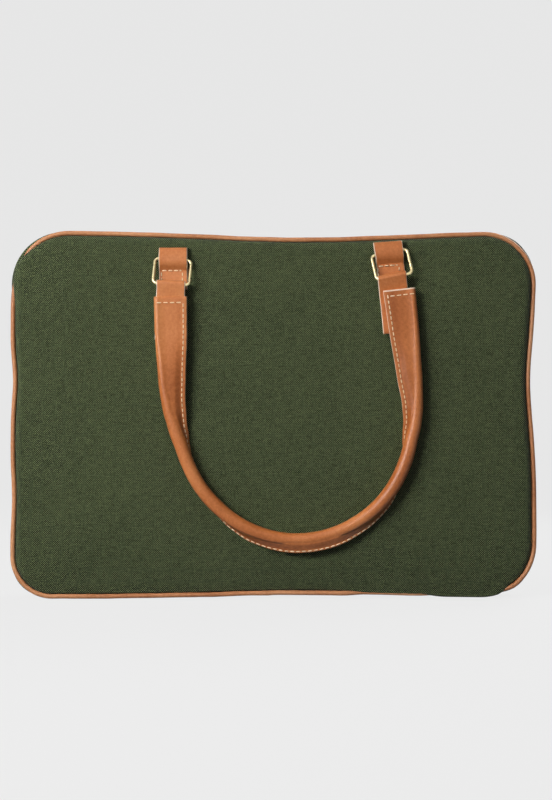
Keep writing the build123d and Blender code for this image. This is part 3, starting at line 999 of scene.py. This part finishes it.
def hand_grip(side):
    """Leather strip folded round a cord and stitched along a seam that turns from inside to below."""
    route = grip_route()
    total = route[-1][0]
    rows = None
    stitch_lines = {1: [], -1: []}
    for distance, x, z, tx, tz in route:
        radius, width, angle, shift = grip_section(distance)
        angle = radians(angle)
        reach = width - radius
        centre = shift - (width / 2 - radius) * max(cos(angle), 0)
        from_end = min(distance, total - distance)
        seam_half = mix(*GRIP_SEAM_HALF, smooth(from_end, *GRIP_END_BLEND))
        starts, stops = GRIP_LOW_SEAM
        low = smooth(distance, *starts) * (1 - smooth(distance, *stops))
        profile = grip_profile(radius, width, seam_half, low)
        if rows is None:
            rows = [[] for _ in profile]

        def put(p, q):
            a = centre + p * cos(angle) + q * sin(angle)
            b = q * cos(angle) - p * sin(angle)
            return place(side, x - tz * a, GRIP_OUT + b, z + tx * a)

        for row, (p, q) in zip(rows, profile):
            row.append(put(p, q))
        for face, line in stitch_lines.items():
            line.append((distance, put(reach - mix(*GRIP_STITCH_BACK, low), face * (seam_half + 0.12))))
    count = len(rows)
    # Cloth coordinate across the section, which places the grip leather's painted valley shade.
    across = [min(k, count - k) for k in range(count + 1)]
    cut_edges = (0, 1, count - 2, count - 1)

    def part(row, run):
        return 1 if row in cut_edges or run == len(route) - 2 else 0

    runs = [spot[0] for spot in route]
    obj = tube(f"{side}_grip", rows, runs, across, [GRIP_TAN, LEATHER_CUT], part_of=part)
    fit(obj, f"{side}_handle", "leather", f"{side}_handle_grip", f"{side}_handle_core")
    stitches = seam_stitches(stitch_lines.values())
    stitches += end_stitches(side, route[0], 4.6) + end_stitches(side, route[-1], -4.6)
    fit(capsules(f"{side}_grip_stitches", stitches, THREAD), f"{side}_handle", "leather")


def seam_stitches(lines):
    """Stitches down the seam of the grip, on both faces."""
    stitches = []
    for line in lines:
        at = 5.2
        while at < line[-1][0] - 6:
            stitches.append((line_point(line, at), line_point(line, at + STITCH_LENGTH), STITCH_RADIUS))
            at += STITCH_PITCH
    return stitches


def end_stitches(side, spot, inset):
    """The bold row across one end of the grip."""
    _, x, z, tx, tz = spot
    stitches = []
    for k in range(4):
        ends = []
        for reach in (0, BOLD_STITCH_LENGTH):
            a = k * 4.9 - 9.4 + reach
            out = GRIP_OUT + 2.78 - 0.02 * (a + 9)
            ends.append(place(side, x + tx * inset - tz * a, out, z + tz * inset + tx * a))
        stitches.append((*ends, BOLD_STITCH_RADIUS))
    return stitches


def line_point(line, at):
    """The point at a distance along (distance, point) pairs."""
    for (d0, p0), (d1, p1) in zip(line, line[1:]):
        if at <= d1:
            return p0.lerp(p1, (at - d0) / (d1 - d0))
    return line[-1][1]


# ---- build ----
for side, seed in (("front", 1.7), ("back", 8.3)):
    canvas_panel(side, seed)
    piping(side, seed)
    gusset(side, seed)
    zip_tape(side)
    zip_teeth(side)
    zip_stitches(side)
    lining(side, seed)
    wall_lining(side)
    binding(side)
    hand_grip(side)
    for hand in ("left", "right"):
        anchor_tab(side, hand)
        handle_loop(side, hand)
base_strip()

for name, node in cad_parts.items():
    if "_ring_" in name:
        node.data.materials.clear()
        node.data.materials.append(BRASS)
    if name.startswith("zip_"):
        node.data.materials.clear()
        node.data.materials.append(ZIP_BRASS)


# ---- studio ----
def glow_paint(name, shade, glow):
    """Matt paint that also glows by itself, so that it stays even."""
    paint = Paint(name, roughness=1.0, colour=(shade, shade, shade))
    paint.shader.inputs["Emission Color"].default_value = (1, 1, 1, 1)
    paint.shader.inputs["Emission Strength"].default_value = glow
    return paint


def stage_piece(name, verts, faces, paint):
    mesh = bpy.data.meshes.new(name)
    mesh.from_pydata(verts, [], faces)
    mesh.materials.append(paint.material)
    for polygon in mesh.polygons:
        polygon.use_smooth = True
    obj = bpy.data.objects.new(name, mesh)
    bpy.context.scene.collection.objects.link(obj)
    obj.visible_diffuse = False
    return obj


def round_wall(name, first, paint):
    """Half of the round wall that sweeps up from the floor, from an angle in degrees."""
    profile = []
    for i in range(13):
        angle = radians(90 * i / 12)
        profile.append((ROOM_RADIUS - 1 + sin(angle), 1 - cos(angle)))
    profile.append((ROOM_RADIUS, ROOM_HEIGHT))
    verts = []
    for i in range(25):
        angle = radians(first + 7.5 * i)
        verts += [(radius * cos(angle), radius * sin(angle), z - 0.0003) for radius, z in profile]
    faces = []
    for i in range(24):
        for k in range(len(profile) - 1):
            a = i * len(profile) + k
            faces.append((a, a + 1, a + 1 + len(profile), a + len(profile)))
    return stage_piece(name, verts, faces, paint)


def backdrop():
    """A pale floor and a round wall. The front of the wall doesn't show in the metal."""
    paint = glow_paint("backdrop_pale", 0.05, 0.79)
    paint.shader.inputs["Specular IOR Level"].default_value = 0.0
    reach = ROOM_RADIUS + 1
    corners = [(-reach, -reach), (reach, -reach), (reach, reach), (-reach, reach)]
    stage_piece("floor", [(x, y, -0.0002) for x, y in corners], [(0, 1, 2, 3)], paint)
    round_wall("back_wall", 0, paint)
    round_wall("front_wall", 180, paint).visible_glossy = False


def card():
    """A white card that only shows in the metal."""
    corners = [(-2.2, -2.4, 0.3), (1.2, -2.4, 0.3), (1.2, -1.9, 2.2), (-2.2, -1.9, 2.2)]
    obj = stage_piece("card", corners, [(0, 1, 2, 3)], glow_paint("card_white", 0.8, 1.2))
    obj.visible_camera = False
    obj.visible_shadow = False


def area_light(name, position, target, size, energy, spread):
    light = bpy.data.lights.new(name, "AREA")
    light.shape = "RECTANGLE"
    light.size, light.size_y = size
    light.energy = energy
    light.spread = radians(spread)
    obj = bpy.data.objects.new(name, light)
    obj.location = position
    obj.rotation_euler = (Vector(target) - Vector(position)).to_track_quat("-Z", "Y").to_euler()
    bpy.context.scene.collection.objects.link(obj)


def lights():
    """Soft key from the upper left, and weaker fill, top and rear lights."""
    area_light("key", (-0.95, -1.15, 0.62), (-0.04, 0, 0.15), (0.85, 0.5), 7.4, 100)
    area_light("fill", (1.5, -1.3, 0.7), (0, 0, 0.14), (1.0, 1.0), 1.3, 180)
    area_light("top", (-0.3, -0.4, 1.3), (0, 0, 0.1), (0.9, 0.22), 2.5, 180)
    area_light("rear", (0.6, 0.7, 0.8), (0, 0, 0.15), (0.9, 0.6), 5.0, 120)


def surroundings():
    """Dim grey all round, paler overhead."""
    world = bpy.data.worlds.new("studio")
    world.use_nodes = True
    nodes, links = world.node_tree.nodes, world.node_tree.links
    split = nodes.new("ShaderNodeSeparateXYZ")
    links.new(nodes.new("ShaderNodeTexCoord").outputs["Generated"], split.inputs[0])
    ramp = nodes.new("ShaderNodeValToRGB")
    ramp.color_ramp.elements[0].position = 0.0
    ramp.color_ramp.elements[0].color = (0.10, 0.10, 0.10, 1)
    ramp.color_ramp.elements[1].position = 0.7
    ramp.color_ramp.elements[1].color = (1, 1, 1, 1)
    links.new(split.outputs["Z"], ramp.inputs[0])
    links.new(ramp.outputs[0], nodes["Background"].inputs["Color"])
    nodes["Background"].inputs["Strength"].default_value = 0.18
    bpy.context.scene.world = world
    bpy.context.scene.view_settings.view_transform = "Standard"


def camera():
    """Straight in front of the sleeve, a little above its middle."""
    data = bpy.data.cameras.new("camera")
    data.sensor_width = 36
    data.lens = 74.3
    obj = bpy.data.objects.new("camera", data)
    obj.location = (0.0019, -1.271, 0.151)
    obj.rotation_euler = (radians(90), 0, 0)
    bpy.context.scene.collection.objects.link(obj)
    bpy.context.scene.camera = obj


backdrop()
card()
lights()
surroundings()
camera()
